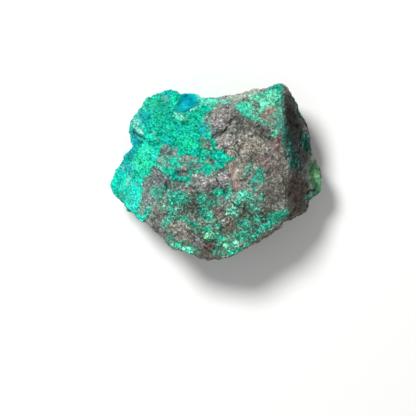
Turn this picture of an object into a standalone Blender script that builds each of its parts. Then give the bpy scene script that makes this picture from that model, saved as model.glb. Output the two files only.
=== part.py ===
"""Chrysocolla specimen: one broken lump of ore, lying on its flat underside with its best face up.

The lump is modelled in millimetres and turned into metres at the end. Seen from above, +X is the
long way of the face, +Y is towards its back edge, and +Z is up. Its form comes in three steps: an
outline and the fracture planes that bound it, then the hollows, ridges and cracks of its face, and
last the hackly facets of the broken ore.
"""

import math

import bmesh
import bpy
import numpy as np
from mathutils import Vector, noise

NAME = "chrysocolla_specimen"
METRES_PER_MM = 0.001

# Driving dimensions, in millimetres.
LENGTH = 70.0  # along X
WIDTH = 57.5  # along Y
HEIGHT = 32.0  # along Z
GIRDLE_HEIGHT = 13.0  # where the lump is widest
UPPER_TAPER = 0.001  # share of the outline lost for each millimetre above the girdle
LOWER_TAPER = 0.012  # and for each millimetre below it
BODY_VOXEL = 0.75
LEDGE_SPACING = 8.5  # between the ledges of the walls
LEDGE_DEPTH = 1.8
LEDGE_TILT = (0.22, -0.12, 1.0)  # the ledges step up along this direction
LEDGE_WARP = 16.0  # size of the waves in the ledges
LEDGE_SWAY = 1.4  # how far the waves shift a ledge, in spacings
LEDGE_RISE = 0.85  # share of the spacing over which a ledge slopes out before it drops back
LEDGE_PATCH = 11.0  # size of the patches of wall that have ledges
FACET_SIZES = {8.0: 0.16, 3.6: 0.18}  # size of the hackly facets: the slope that they lie at
FACET_EDGE = 0.2  # width of the step between two facets, as a share of their size
CELLS_APART = 9  # spreads the facets' centres, so that each gets a tilt of its own
OTHER_PLACE = (40, 0, 0)  # where the noise is read a second time, so that the two differ
MOST_TRIANGLES = 8800

ORE_COLOUR = (0.05, 0.30, 0.24, 1.0)
ORE_ROUGHNESS = 0.6

# The outline at the girdle, as (x, y), anticlockwise from the right-hand corner.
OUTLINE = [
    (35.1, -4.2), (33.8, 0.7), (30.2, 10.6), (26.9, 18.8), (23.3, 26.6), (21.3, 28.8),
    (18.4, 28.4), (14.8, 26.7), (9.8, 25.9), (6.6, 24.8), (0.7, 24.0), (-1.3, 24.8),
    (-4.3, 24.4), (-7.9, 26.0), (-11.5, 25.1), (-15.4, 27.1), (-20.0, 24.8), (-22.6, 23.7),
    (-25.2, 21.0), (-28.5, 15.8), (-27.9, 11.5), (-27.5, 8.1), (-31.1, 5.0), (-32.1, 2.0),
    (-35.1, -3.9), (-33.8, -6.5), (-27.9, -13.4), (-25.2, -15.8), (-23.0, -16.2),
    (-20.0, -19.6), (-17.4, -21.9), (-14.8, -24.9), (-11.5, -26.5), (-7.5, -26.7),
    (-3.9, -27.9), (0.0, -28.6), (5.2, -27.1), (10.2, -24.2), (14.2, -21.5), (18.5, -18.8),
    (22.6, -15.9), (27.9, -13.2), (29.5, -11.4), (29.5, -9.1), (34.1, -6.2),
]

# Fracture planes: a point on each, and the azimuth and elevation of its outward normal in degrees.
FRACTURES = {
    "dark_face": ((6, -2, 30), -62, 85),
    "green_face": ((-14, 14, 29.0), 130, 76),
    "left_lobe": ((-20.5, -3, 29.6), 197, 47),
    "green_shoulder": ((-21.5, 20.5, 25), 140, 42),
    "back_right_face": ((14, 18, 31), 66, 70),
    "back_bevel": ((1, 22.6, 29.5), 104, 34),
    "right_wall": ((20.7, 12, 30.5), 2, 35),
    "lower_right_wall": ((21.7, -8, 28.6), -14, 41),
    "front_right_bevel": ((13.2, -21.6, 27.6), -58, 30),
    "front_bevel": ((-3, -27.6, 27.2), -93, 28),
    "front_left_bevel": ((-20.9, -18.4, 27.4), -138, 28),
    "under_right": ((26, 0, 0), 8, -30),
    "under_back_right": ((17, 17, 0), 50, -28),
    "under_back": ((0, 17, 0), 92, -33),
    "under_back_left": ((-17, 14, 0), 138, -36),
    "under_left": ((-23, -2, 0), 180, -44),
    "under_front_left": ((-16, -15, 0), -138, -30),
    "under_front": ((-3, -22, 0), -95, -24),
    "under_front_right": ((17, -13, 0), -52, -36),
    "underside": ((0, 0, -2.5), 0, -90),
}

# Rounded swells and hollows of the face: centre, half-axes, turn in degrees, and rise.
SWELLS = {
    "back_right_scoop": ((14.4, 21.6), (8.6, 4.4), -24, -2.4),
    "blue_pocket": ((-9.8, 23.2), (4.0, 2.8), 25, -2.6),
    "left_step": ((-26.6, 11.0), (2.6, 4.0), 12, -1.4),
    "lobe_saddle": ((-27.5, 3.5), (4.5, 3.0), 30, -1.0),
    "upper_dark_lobe": ((3.2, 17.6), (4.0, 5.0), -10, 1.7),
    "lower_dark_lobe": ((3.0, 9.4), (4.6, 2.6), 15, 1.3),
    "main_hollow": ((14.0, 4.0), (8.5, 7.0), -10, -1.2),
    "right_knob": ((19.4, 10.6), (2.4, 3.4), -15, 1.0),
    "green_swell": ((-7.0, 11.0), (5.5, 4.5), 35, 0.9),
    "pit": ((-15.8, 6.6), (2.6, 1.8), 0, -1.2),
    "knob": ((-10.4, 0.6), (2.2, 1.7), 20, 1.0),
    "front_knob": ((-2.4, -20.6), (1.8, 1.6), 0, 1.0),
    "front_hollow": ((-7.5, -12.0), (5.0, 3.4), -35, -1.3),
    "front_right_hollow": ((9.5, -16.0), (4.4, 2.6), 25, -1.0),
    "corner_ledge": ((33.0, -3.4), (3.4, 4.8), -10, 2.6),
}

# Ridges, and with a negative rise cracks and creases: their line, half-width and rise.
RIDGES = {
    "scoop_rim": ([(5.4, 21.6), (9.5, 18.4), (14.5, 16.4), (21.6, 13.6)], 1.3, 1.5),
    "rim_foot": ([(6.8, 13.6), (11.0, 12.2), (15.5, 11.4), (19.0, 9.4)], 1.5, -0.9),
    "lobe_crease": ([(-1.0, 11.4), (2.4, 13.0), (5.3, 16.6)], 1.0, -1.1),
    "brown_step": ([(7.4, 7.4), (5.6, 3.2), (4.6, -2.2), (5.8, -6.6)], 1.0, -0.7),
    "lavender_ridge": ([(-14.0, 1.2), (-7.5, -0.6), (-1.0, -2.4), (4.0, -2.6)], 2.0, 1.3),
    "ridge_foot": ([(-14.4, -3.2), (-10.0, -5.8), (-4.6, -7.6), (2.2, -6.8)], 1.4, -1.0),
    "front_crack": ([(8.8, -11.0), (11.4, -13.4), (14.6, -16.0)], 0.8, -1.3),
    "left_groove": ([(-27.6, 13.8), (-23.8, 10.4), (-19.4, 8.2)], 1.0, -1.2),
    "pocket_rim": ([(-13.6, 19.0), (-8.8, 20.4), (-4.0, 22.0)], 0.9, 1.0),
    "green_step": ([(-19.5, 13.0), (-14.0, 10.5), (-9.5, 5.6)], 1.1, -0.7),
}

# Scoops broken out of the walls: centre, radius and depth.
SCOOPS = {
    "front": ((-9, -27, 16), 9, 2.6),
    "front_right": ((17, -19, 9), 7, 2.0),
    "front_left": ((-24, -15, 8), 7, 1.8),
    "back": ((-3, 24, 12), 9, 2.4),
    "back_left": ((-22, 20, 9), 7, 1.6),
    "back_right": ((22, 22, 12), 8, 2.0),
    "right": ((29, 6, 17), 7, 1.5),
}


def outline_radius(angles):
    """Distance from the centre to the outline along each angle, in the plane of the girdle."""
    x, y = np.array(OUTLINE).T
    turns = np.degrees(np.arctan2(y, x))
    return np.interp(np.degrees(angles), turns, np.hypot(x, y), period=360)


def radius_along(directions):
    """Distance from the girdle's centre to the lump's surface along each unit direction."""
    level = np.hypot(directions[:, 0], directions[:, 1])
    rise = directions[:, 2]
    reach = outline_radius(np.arctan2(directions[:, 1], directions[:, 0]))
    taper = np.where(rise > 0, UPPER_TAPER, LOWER_TAPER)
    radius = reach / (level + reach * taper * np.abs(rise))
    for point, azimuth, elevation in FRACTURES.values():
        azimuth, elevation = math.radians(azimuth), math.radians(elevation)
        level_share = math.cos(elevation)
        normal = np.array([
            math.cos(azimuth) * level_share, math.sin(azimuth) * level_share, math.sin(elevation)
        ])
        distance = (np.array(point) - (0, 0, GIRDLE_HEIGHT)) @ normal
        facing = np.maximum(directions @ normal, 1e-6)
        radius = np.minimum(radius, distance / facing)
    return radius


def smooth_step(low, high, values):
    share = np.clip((values - low) / (high - low), 0, 1)
    return share * share * (3 - 2 * share)


def swell_rise(places, centre, half_axes, turn, rise):
    """Height that a rounded swell adds at each place of the plan."""
    turn = math.radians(turn)
    x, y = (places - centre).T
    along = (x * math.cos(turn) + y * math.sin(turn)) / half_axes[0]
    across = (y * math.cos(turn) - x * math.sin(turn)) / half_axes[1]
    return rise * smooth_step(1.3, 0.3, np.hypot(along, across))


def line_distance(places, line):
    """Distance in plan from each place to a line of points."""
    nearest = np.full(len(places), np.inf)
    for start, end in zip(np.array(line[:-1]), np.array(line[1:])):
        run = end - start
        share = np.clip((places - start) @ run / (run @ run), 0, 1)
        gap = places - start - share[:, None] * run
        nearest = np.minimum(nearest, np.hypot(*gap.T))
    return nearest


def face_relief(points):
    """Height that the face's swells, ridges and cracks add at each point."""
    places = points[:, :2]
    height = np.zeros(len(points))
    for swell in SWELLS.values():
        height += swell_rise(places, *swell)
    for line, half_width, rise in RIDGES.values():
        height += rise * np.exp(-((line_distance(places, line) / half_width) ** 2))
    return height


def scoop_relief(points):
    """Height along the normal, below zero, of the scoops broken out of the walls."""
    height = np.zeros(len(points))
    for centre, radius, depth in SCOOPS.values():
        distance = np.linalg.norm(points - centre, axis=1)
        height -= depth * smooth_step(radius, radius * 0.3, distance)
    return height


def ledge_relief(points, normals):
    """Height along the normal, below zero, of the slanting ledges that the walls broke off in."""
    warp = np.array([noise.noise(Vector(point / LEDGE_WARP)) for point in points])
    patch = np.array([noise.noise(Vector(point / LEDGE_PATCH + OTHER_PLACE)) for point in points])
    level = points @ LEDGE_TILT / LEDGE_SPACING + warp * LEDGE_SWAY
    share = level - np.floor(level)
    step = np.minimum(share / LEDGE_RISE, (1 - share) / (1 - LEDGE_RISE))
    wall = smooth_step(0.6, 0.3, np.abs(normals[:, 2]))
    return -LEDGE_DEPTH * step * wall * smooth_step(-0.3, 0.3, patch)


def hackly_relief(points):
    """Height along the normal that flat, tilted fracture facets add at each point."""
    height = np.zeros(len(points))
    for size, slope in FACET_SIZES.items():
        for index, point in enumerate(points):
            place = Vector(point / size)
            distances, centres = noise.voronoi(place)
            fade = min(1.0, (distances[1] - distances[0]) / FACET_EDGE)
            tilt = noise.cell_vector(centres[0] * CELLS_APART) * 2 - Vector((1, 1, 1))
            height[index] += size * slope * (place - centres[0]).dot(tilt) * fade
    return height


def points_of(mesh):
    flat = np.empty(len(mesh.vertices) * 3)
    mesh.vertices.foreach_get("co", flat)
    return flat.reshape(-1, 3)


def normals_of(mesh):
    flat = np.empty(len(mesh.vertices) * 3)
    mesh.vertex_normals.foreach_get("vector", flat)
    return flat.reshape(-1, 3)


def set_points(mesh, points):
    mesh.vertices.foreach_set("co", points.ravel())
    mesh.update()


def apply_modifiers(obj):
    graph = bpy.context.evaluated_depsgraph_get()
    modified = bpy.data.meshes.new_from_object(obj.evaluated_get(graph))
    obj.modifiers.clear()
    obj.data, replaced = modified, obj.data
    bpy.data.meshes.remove(replaced)


def make_body(collection):
    """The lump's main form: a sphere drawn in to the outline and the fracture planes."""
    shape = bmesh.new()
    bmesh.ops.create_icosphere(shape, subdivisions=7, radius=1.0)
    mesh = bpy.data.meshes.new(NAME)
    shape.to_mesh(mesh)
    shape.free()
    directions = points_of(mesh) * (LENGTH, WIDTH, 2 * GIRDLE_HEIGHT)
    directions /= np.linalg.norm(directions, axis=1)[:, None]
    set_points(mesh, directions * radius_along(directions)[:, None] + (0, 0, GIRDLE_HEIGHT))
    body = bpy.data.objects.new(NAME, mesh)
    collection.objects.link(body)
    remesh = body.modifiers.new("even_mesh", "REMESH")
    remesh.mode = "VOXEL"
    remesh.voxel_size = BODY_VOXEL
    apply_modifiers(body)
    return body


def carve(body):
    """Gives the face its relief, and then the whole lump its hackly facets."""
    points = points_of(body.data)
    upward = smooth_step(0.25, 0.7, normals_of(body.data)[:, 2])
    points[:, 2] += face_relief(points) * upward
    set_points(body.data, points)
    normals = normals_of(body.data)
    height = scoop_relief(points) + ledge_relief(points, normals) + hackly_relief(points)
    set_points(body.data, points + normals * height[:, None])


def thin_out(body):
    """Fewer triangles, where the surface is nearly flat."""
    triangles = sum(len(face.vertices) - 2 for face in body.data.polygons)
    decimate = body.modifiers.new("fewer_triangles", "DECIMATE")
    decimate.ratio = MOST_TRIANGLES / triangles
    apply_modifiers(body)


def cut_underside(body):
    """Cuts the lump flat where it rests."""
    shape = bmesh.new()
    shape.from_mesh(body.data)
    everything = shape.verts[:] + shape.edges[:] + shape.faces[:]
    cut = bmesh.ops.bisect_plane(
        shape, geom=everything, plane_co=(0, 0, 0), plane_no=(0, 0, -1), clear_outer=True
    )
    rim = [part for part in cut["geom_cut"] if isinstance(part, bmesh.types.BMEdge)]
    bmesh.ops.edgeloop_fill(shape, edges=rim)
    bmesh.ops.recalc_face_normals(shape, faces=shape.faces[:])
    shape.to_mesh(body.data)
    shape.free()


def bring_to_size(body):
    """Centres the lump over the origin at its exact size, in metres."""
    points = points_of(body.data)
    low, high = points.min(0), points.max(0)
    middle = np.array([(low[0] + high[0]) / 2, (low[1] + high[1]) / 2, 0])
    scale = np.array([LENGTH, WIDTH, HEIGHT]) / (high - low)
    set_points(body.data, (points - middle) * scale * METRES_PER_MM)


def make_material():
    """Chrysocolla-green ore with a dull, stony surface."""
    material = bpy.data.materials.new("chrysocolla_ore")
    material.use_nodes = True
    shader = material.node_tree.nodes["Principled BSDF"]
    shader.inputs["Base Color"].default_value = ORE_COLOUR
    shader.inputs["Roughness"].default_value = ORE_ROUGHNESS
    shader.inputs["Metallic"].default_value = 0.0
    return material


def main():
    for old in list(bpy.data.objects):
        bpy.data.objects.remove(old)
    collection = bpy.data.collections.new("chrysocolla")
    bpy.context.scene.collection.children.link(collection)
    body = make_body(collection)
    carve(body)
    thin_out(body)
    cut_underside(body)
    bring_to_size(body)
    body.data.materials.append(make_material())


main()
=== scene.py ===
"""The looks of the chrysocolla specimen: green copper crust grown through dark, hackly ore.

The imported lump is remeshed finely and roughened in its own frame. Where crust shows and where bare
ore does, and how each is tinted, is laid out in millimetres on the plan of the lump's best face,
seen from above with +Y up the page. Past the edge of that face the patches run on at random.
"""

from types import SimpleNamespace

import bmesh
import bpy
import numpy as np
from mathutils import Matrix, Vector, noise


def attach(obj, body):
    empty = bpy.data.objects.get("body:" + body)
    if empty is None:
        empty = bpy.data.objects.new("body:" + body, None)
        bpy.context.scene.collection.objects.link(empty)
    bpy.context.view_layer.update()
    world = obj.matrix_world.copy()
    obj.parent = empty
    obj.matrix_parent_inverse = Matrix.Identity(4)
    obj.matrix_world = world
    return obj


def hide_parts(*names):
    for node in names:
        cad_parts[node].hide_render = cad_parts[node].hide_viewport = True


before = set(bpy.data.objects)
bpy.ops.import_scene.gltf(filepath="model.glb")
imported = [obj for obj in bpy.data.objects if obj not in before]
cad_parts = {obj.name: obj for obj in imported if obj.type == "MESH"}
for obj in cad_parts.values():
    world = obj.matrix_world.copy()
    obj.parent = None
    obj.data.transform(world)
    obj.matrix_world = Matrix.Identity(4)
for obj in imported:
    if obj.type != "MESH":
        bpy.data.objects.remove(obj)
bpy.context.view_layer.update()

NODE = "chrysocolla_specimen"
SLOT = "chrysocolla_ore"
MM = 0.001

# Fineness of the mesh, in millimetres.
VOXEL = 0.27
MOST_TRIANGLES = 192_000
LOW = VOXEL * 0.3  # all below is the flat underside
BASE = VOXEL * 0.5  # all below stays where it is

# Depth of the relief, in millimetres.
ORE_FACETS = {4.2: 0.13, 2.3: 0.12, 1.1: 0.16}  # size of the hackly facets: their slope
CRUST_FACETS = {3.6: 0.14, 1.7: 0.18, 0.85: 0.24}
POCKET_FACETS = {3.4: 0.22}
CRUST_SHIFT = 50  # so that the crust's facets aren't the ore's
POCKET_SHIFT = 80
CELL_SPREAD = 9  # gives each cell a tilt of its own
STEP_SHARPNESS = 6
STREAKS = {1.5: 0.16, 0.8: 0.11}  # width of the long splinters of the ore: their height
STREAK_STRETCH = 4.0
STREAK_SHARPNESS = 2.2
STREAK_LEVEL = 0.4
STREAKS_IN_CRUST = 0.25
SEAM_REACH = 1.6  # of a seam, in its half-widths
FULL_CRACK = 0.4  # depth at which a crack's painted shade is darkest
CRUST_THICKNESS = 0.16
CHIP_RISE = 0.25
FINE_ROUGHNESS = 0.05
FINE_SIZE = 0.45
SMOOTHING = 0.4  # share of the relief that the smooth spots lose
EVENING = 0.8  # and that the chips and the blue pocket lose
LEVELLED = 0.7  # share of the relief's broad swings that is taken out

# How many times values are averaged with their neighbours'.
FACING_BLUR = 25
NEAR_BLUR = 8
FAR_BLUR = 120
CREASE_BLUR = 60

# Over which slopes the best face ends at the walls, and the pocket ends.
FACING = (0.12, 0.45)
UPWARD = (0.02, 0.12)

# Outlines are warped by waves of two sizes, each with its reach and shift in millimetres.
WARPS = [(2.2, 0.45, 0.0), (0.9, 0.3, 30.0)]
STEADY = 0.4  # share of the warp in streaks and the pocket
FRAY = 0.45  # how far the edge of the crust frays, where nothing else is said
CRUST_EDGE = 0.25
POCKET_EDGE = (-0.2, 0.1)
FACET_EDGE = 0.12
LEAST_DEPTH = -9.0  # in the crust
BARE_DEPTH = 5  # taken off the crust on bare walls
PALE_BACK_DEPTH = 6

# Over which shares of its size a spot fades out.
ZONE_FADE = (1.2, 0.8)
PATCH_FADE = (1.3, 0.7)
FLOW_FADE = (1.3, 0.6)
TINT_FADE = (1.35, 0.45)
CHIP_FADE = (1.15, 0.85)

# Which way the splinters run, in degrees on the plan: along FLOW, but in these spots.
FLOW = -34
FLOW_WEIGHT = 0.6
FLOWS_WEIGHT = 3
FLOWS = {
    "upright": ((10, 3, 13, 9, 80), 82),
    "low_right": ((14, -17, 12, 7, 35), 33),
    "right": ((25, -4, 6, 16, 0), 62),
}

# Cracks and ridges: a line on the plan, its half-width, and how far it rises. Where it sinks, the
# crack is also darkened in colour as painted shade.
SEAMS = {
    "long_crack": (
        [(5.2, -10.2), (7.2, -11), (9.2, -11.8), (10.4, -12.8), (11.6, -14), (13.2, -14.6)],
        0.4, -0.4,
    ),
    "short_crack": ([(0.2, -2.4), (1.2, -4.2), (2.2, -5.2)], 0.35, -0.35),
    "upper_crease": ([(5.6, 17.2), (4.2, 15.4), (2.2, 13.2), (0, 11.6), (-1, 11)], 0.5, -0.25),
    "left_step": ([(-21, -1), (-15, -5), (-10, -6.2), (-6, -8)], 0.6, -0.15),
    "left_step_upper": ([(-16, -2.4), (-12, -4.4), (-9, -5.6)], 0.5, -0.12),
    "upright_crack": ([(6.9, 8.2), (6.7, 5.2), (6.2, 2.2), (5.6, -0.6), (5.4, -4)], 0.3, -0.15),
    "ridge_crease": (
        [(12.4, 14.6), (13.4, 12.4), (15, 11.4), (17.4, 11.2), (18.6, 12.4)], 0.35, -0.25,
    ),
    "beige_crack": ([(12, 8.6), (13.2, 7), (13.4, 5.4)], 0.35, -0.3),
    "dark_edge": ([(21.5, -1), (22.6, -4), (23, -8)], 0.4, -0.3),
    "field_line": ([(-14, 18), (-12.2, 16.4), (-10, 14.8), (-7, 13.2)], 0.4, -0.12),
    "field_ridge": ([(-13.6, 18.6), (-11.8, 17.3), (-9.8, 15.9)], 0.4, 0.2),
    "ledge_ridge": ([(-27, 14.4), (-24.6, 12.6), (-22, 11.6), (-19, 9.8)], 0.4, 0.3),
    "ledge_foot": ([(-26.6, 13.2), (-24.6, 11.6), (-22.6, 10.6), (-20.4, 9.2)], 0.4, -0.18),
    "field_nick": ([(-15.2, 13.6), (-16.6, 12.7), (-18.8, 12.4)], 0.35, -0.15),
    "lobe_line": ([(-28.6, 0.4), (-28.2, -2.6), (-29.6, -4.8)], 0.35, -0.2),
    "lobe_ridge": ([(-27.6, 0.8), (-27, -2), (-27.6, -4.4), (-29, -6.6)], 0.4, 0.25),
    "tip_fold": ([(4.8, 7), (6.8, 6.3), (7.3, 4.8), (6.4, 3.4)], 0.45, 0.35),
    "corner_pit": ([(29.9, -7), (31.4, -6.3), (32.8, -5.9)], 0.55, -0.8),
    "corner_rim": ([(29.2, -8.4), (31.4, -7.3), (33.6, -6.2), (34.8, -4)], 0.45, 0.3),
    "pocket_line": ([(-13.2, 20.8), (-11.8, 22.8), (-10.4, 24.6)], 0.35, -0.1),
    "pocket_ridge": ([(-9.6, 21), (-8.4, 23), (-7.6, 25.6)], 0.4, 0.3),
}

# ---- the camera

PIXELS = 416
PIXELS_PER_MM = 3.05  # at the level below
LEVEL = 18.0
STONE_MIDDLE = (216.0, 172.2)  # in the frame, in pixels
LENS = 150
SENSOR = 36
CAMERA_PLACE = (
    (PIXELS / 2 - STONE_MIDDLE[0]) / PIXELS_PER_MM,
    (STONE_MIDDLE[1] - PIXELS / 2) / PIXELS_PER_MM,
)
CAMERA_RISE = PIXELS / PIXELS_PER_MM * LENS / SENSOR  # above the level

# ---- where the crust is, on the plan

CRUST_FIELDS = {
    "main_field": [
        (1, 27), (0.6, 22.4), (-0.8, 20.8), (-2, 19.6), (-2.6, 18), (-2, 16.2),
        (-1.9, 14.2), (-1.4, 12.4), (-0.6, 11), (0.4, 9.2), (0.2, 7.6), (2.6, 6.8),
        (3.2, 5.4), (4.6, 5.3), (6, 5), (5.6, 4.1), (4.2, 3.5), (3.1, 2.7), (2.2, 1.2),
        (-0.4, 0.6), (-1.4, -0.4), (-2.4, -1.3), (-3.8, -0.9), (-5, 0), (-6.6, -0.1),
        (-8, -0.8), (-9.2, -3.6), (-10.4, -3.4), (-12.4, -2.2), (-14.8, -2.8),
        (-15.4, -1), (-16.6, -0.4), (-18, 0.2), (-19.2, 1.6), (-20.4, 1.9), (-21.6, 0.9),
        (-22, -1.4), (-23.4, -1.6), (-24, -3.4), (-24.2, -6), (-24.6, -9.4),
        (-25.2, -12), (-25.8, -13.4), (-24.6, -15), (-23.6, -16.6), (-26, -20),
        (-42, -10), (-42, 12), (-34, 24), (-26, 34), (-4, 34),
    ],
    "scoop": [
        (6, 21.4), (7.2, 22.4), (9.6, 23.2), (10.8, 23.2), (10.6, 24.6), (12.6, 25.2),
        (14.2, 25.4), (16.6, 26.6), (18, 28.6), (21.6, 29.6), (21.2, 24.2), (21, 22.2),
        (21.4, 20.6), (21.9, 18), (22.5, 15), (22.4, 13.2), (20.6, 14.4), (19.4, 15.4),
        (17, 15.8), (15, 16.2), (12.4, 17.2), (10.6, 17.6), (9.2, 18.4), (8.4, 19.6),
        (7, 20.6),
    ],
    "corner": [
        (30.2, 2.6), (36, 6), (38, -5), (34.2, -6.4), (30.4, -8.8), (29.4, -9), (29.3, -8.2),
        (31.4, -7), (33.2, -5.6), (31.6, -5.4), (30.6, -4.2), (30.8, -1.6),
    ],
    "front_block": [(-1.2, -6.8), (-0.2, -5.8), (2.6, -5.6), (3, -7.6), (0.4, -7.9)],
    "right_island": [
        (13, 0.9), (14.6, 1.1), (15.6, 0.2), (15.2, -1.4), (15.6, -3.2), (14.2, -3.4),
        (13, -2.6), (12.4, -3.8), (11.4, -3.4), (12.4, -2), (13, -0.6),
    ],
}

# Spots are (x, y, half-length, half-width, turn in degrees).
CRUST_SPOTS = [
    # at the left
    (-18.8, -6.8, 2.4, 1.5, -10), (-19.2, -8.4, 0.8, 1, 0), (-12.8, -8.3, 3.8, 2.6, -15),
    (-14.2, -12, 1.5, 2.6, 5), (-17.2, -5.4, 1.4, 0.7, 20), (-17.2, -11.2, 0.7, 0.7, 0),
    # below the middle
    (-7.2, -17, 1.2, 0.9, 20), (-5.8, -18.6, 0.8, 0.5, -30), (-4.6, -12.9, 1, 0.7, 0),
    (-2.2, -15, 1.2, 0.7, -40), (-1.2, -10.2, 1.3, 0.6, 0),
    # by the front block
    (4.3, -6.6, 0.9, 1.6, 0), (3.2, -9.1, 0.9, 0.6, 0),
    # at the right, down to the long crack
    (9.4, -7.8, 2.2, 1.4, 20), (12, -6.2, 0.8, 1.2, 0), (11, -9, 1, 0.9, 0),
    (7.4, -9.8, 1.7, 1.2, 45), (5.6, -12.6, 1.8, 1.9, -20), (12.4, -11.4, 1.9, 1.5, -15),
    (13.2, -14.8, 1.6, 1, -30), (10.2, -15.8, 1.6, 0.7, 0),
    # by the right edge
    (10.5, 1.1, 0.6, 1.5, -28), (15, -8.2, 0.8, 0.9, 0), (19.4, -14.9, 2.1, 1.6, 25),
    (22.2, -13.8, 1.2, 1, 30),
    # low, from the right to the middle
    (9, -17.2, 2.2, 1.3, -15), (8.2, -20.8, 3.2, 2, 10), (11, -20.9, 2, 1, 20),
    (6.6, -23.2, 2.6, 1.4, 25), (1.4, -21.2, 2.2, 1.3, -20), (2.8, -23.9, 2.1, 1.1, -15),
    (1.6, -26, 1.7, 0.8, 0),
    # round the pale chip
    (-2.4, -20.6, 1.6, 1.4, 0), (-0.8, -20.3, 0.7, 0.6, 0), (-3, -18.8, 1.8, 0.8, 10),
    (1, -17.4, 0.8, 0.8, 0),
    # low at the left
    (-9.6, -25.2, 2.4, 1.2, -15), (-12.2, -23.9, 1.6, 0.9, 25), (-14.5, -22.4, 0.9, 1.6, 20),
    # on the right wall
    (23.8, 8.5, 1.1, 4.4, 8), (25.4, 3.4, 1.6, 2.4, -15), (29.5, 9.5, 2, 3, 20),
    # on the top rim
    (2.8, 23.2, 2.6, 0.7, 5),
]

# Streaks are a line and its half-width.
CRUST_STREAKS = {
    "vee": ([(-22, -11.8), (-23.2, -14.2), (-24.3, -15.5), (-25.8, -14.3)], 0.55),
    "left_drip": ([(-14.8, -8), (-15, -11.5), (-15.1, -14.2), (-15.8, -15.8), (-17, -17.4)], 0.5),
    "cross_drip": ([(-14.4, -13.6), (-13, -14.6), (-11, -15), (-9.2, -15.8)], 0.5),
    "squiggle": (
        [(-5.2, -9.8), (-5.9, -9.2), (-5.8, -8.3), (-4.9, -7.7), (-3.9, -8.3), (-4, -9.4),
         (-4.2, -10.8), (-4, -12.2), (-2.6, -13), (-1.6, -14.4), (-1.3, -16.4)], 0.42,
    ),
    "squiggle_bulb": ([(-4, -12.2), (-4.6, -13.4), (-3.6, -15.2), (-2.4, -15.2)], 0.5),
    "bright_streak": ([(18.4, 12), (19.9, 13.4)], 0.4),
    "edge_streak": ([(18, -16.8), (15.4, -18.4), (12.8, -21)], 0.8),
    "edge_rim": ([(4.6, -26.4), (8.6, -25.4), (12, -22.8)], 0.8),
    "crest_strip": ([(20.8, 21), (21.4, 17), (22, 13.4), (22.9, 10), (23.6, 6)], 0.8),
    "drip_top": ([(12.8, -5), (12.2, -7.2)], 0.4),
}

ORE_FIELDS = {
    "island": [
        (-18.9, 7), (-17.8, 8.6), (-16.2, 9.2), (-14.6, 8.4), (-13, 8), (-12.2, 6.8),
        (-13.6, 5), (-15.4, 4.6), (-16.8, 5), (-18.8, 5.4),
    ],
    "brown_chip": [
        (13.7, 18.3), (15.4, 20.4), (16.8, 21.9), (18.4, 22.1), (19.9, 20.8), (19.2, 19.2),
        (17.8, 17.6), (16.4, 16.4), (14.7, 16.9),
    ],
}
ORE_SPOTS = {
    "island_tail": (-17.7, 3.9, 1.8, 1.6, 20), "round": (-10.6, 0.5, 2.4, 1.8, 15),
    "band": (-9.2, 4.3, 2.5, 1.1, -5), "band_low": (-6.6, 2.2, 1.3, 0.8, 0),
    "nook": (-15.6, 2.4, 1.1, 0.7, -20), "notch": (-3.7, 10.2, 1.2, 0.9, 0),
    "notch_low": (-2.8, 8.4, 1.4, 0.9, 0), "notch_foot": (-1.6, 3.6, 1.5, 0.9, 0),
    "notch_top": (-2.8, 17.2, 0.8, 1.2, 0), "scoop_speck": (12.9, 21.7, 0.9, 1.2, 20),
    "scoop_fleck": (12, 19, 0.7, 0.5, 0), "scoop_corner": (18.4, 16.8, 1.5, 0.6, 0),
    "group_gap": (-12.6, -12.6, 1.1, 0.9, 0), "dark_gap": (12.7, -18.3, 2.9, 1.4, 50),
}

# Where the edge between crust and ore is frayed into specks: spots, and how far it frays.
FRAYED = {
    "band": ((-8, 2.6, 8.5, 2.6, -6), 1.5),
    "notches": ((-2.4, 14, 2.6, 9, 0), 1.7),
    "left_group": ((-14, -9, 6.5, 5.5, -10), 1.3),
    "mid": ((-3, -13, 4.5, 6, 0), 0.7),
    "right_groups": ((9.5, -10.5, 7.5, 7.5, 20), 1.4),
    "low_right": ((7, -20.5, 9, 6, 20), 1.2),
    "scoop": ((12.9, 21.6, 2, 2.8, 20), 2),
    "scoop_low": ((18.4, 17, 2.6, 2.6, 0), 1.8),
    "right_wall": ((25.5, 4, 4, 9, 0), 1),
    "left_low": ((-12, -24, 4, 3, 0), 1.3),
    "hook": ((-3.8, -12, 2.6, 5, 5), 0.2),
    "vee": ((-23.6, -13.8, 2.6, 2.6, 0), 0.2),
    "dark_gap": ((12.7, -18.3, 3.4, 1.9, 50), 0.2),
    "brown_chip": ((16.8, 19.3, 3, 2.2, 35), 0.15),
    "front_block": ((1.2, -6.8, 2.8, 1.7, 0), 0.2),
    "right_island": ((14, -1.2, 2.4, 3.2, 0), 0.25),
    "edge_island": ((20, -14.8, 3.4, 2.2, 20), 0.3),
}

# Where the surface differs, as spots on the plan.
MOTTLED = [(0, -16, 24, 12, 0)]  # thin crust with the dark ore showing through
EVEN = [(0, -16, 24, 13, 0), (15, 22, 12, 8, 0), (28, 2, 8, 20, 0)]  # of one hue
CALM = [(32.5, -2.5, 3.6, 6, 15), (5.6, 1, 1.4, 5, 8)]  # hardly any grain
SOFT = [(14, 21, 9.5, 4.6, -20)]  # half the grain
CALMING, SOFTENING = 0.9, 0.45  # share of the grain that those two lose
SMOOTH = [  # lower relief in the ore
    (12, 6, 7, 4.6, -10), (9, 0, 3, 5, 0), (18, -7, 5, 6, 0),
    (-4, -2.6, 5, 2, -8), (-19, -9, 4, 8, 0),
]
SPARKLING = [  # livelier grain in the ore
    (-1, -23.6, 4, 2.6, 0), (2.6, -15.6, 3, 3, 0), (3.2, 9.6, 4, 3.2, 15),
    (-6, -16, 6, 6, 0), (0, 15, 2.4, 4, 0),
]
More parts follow.
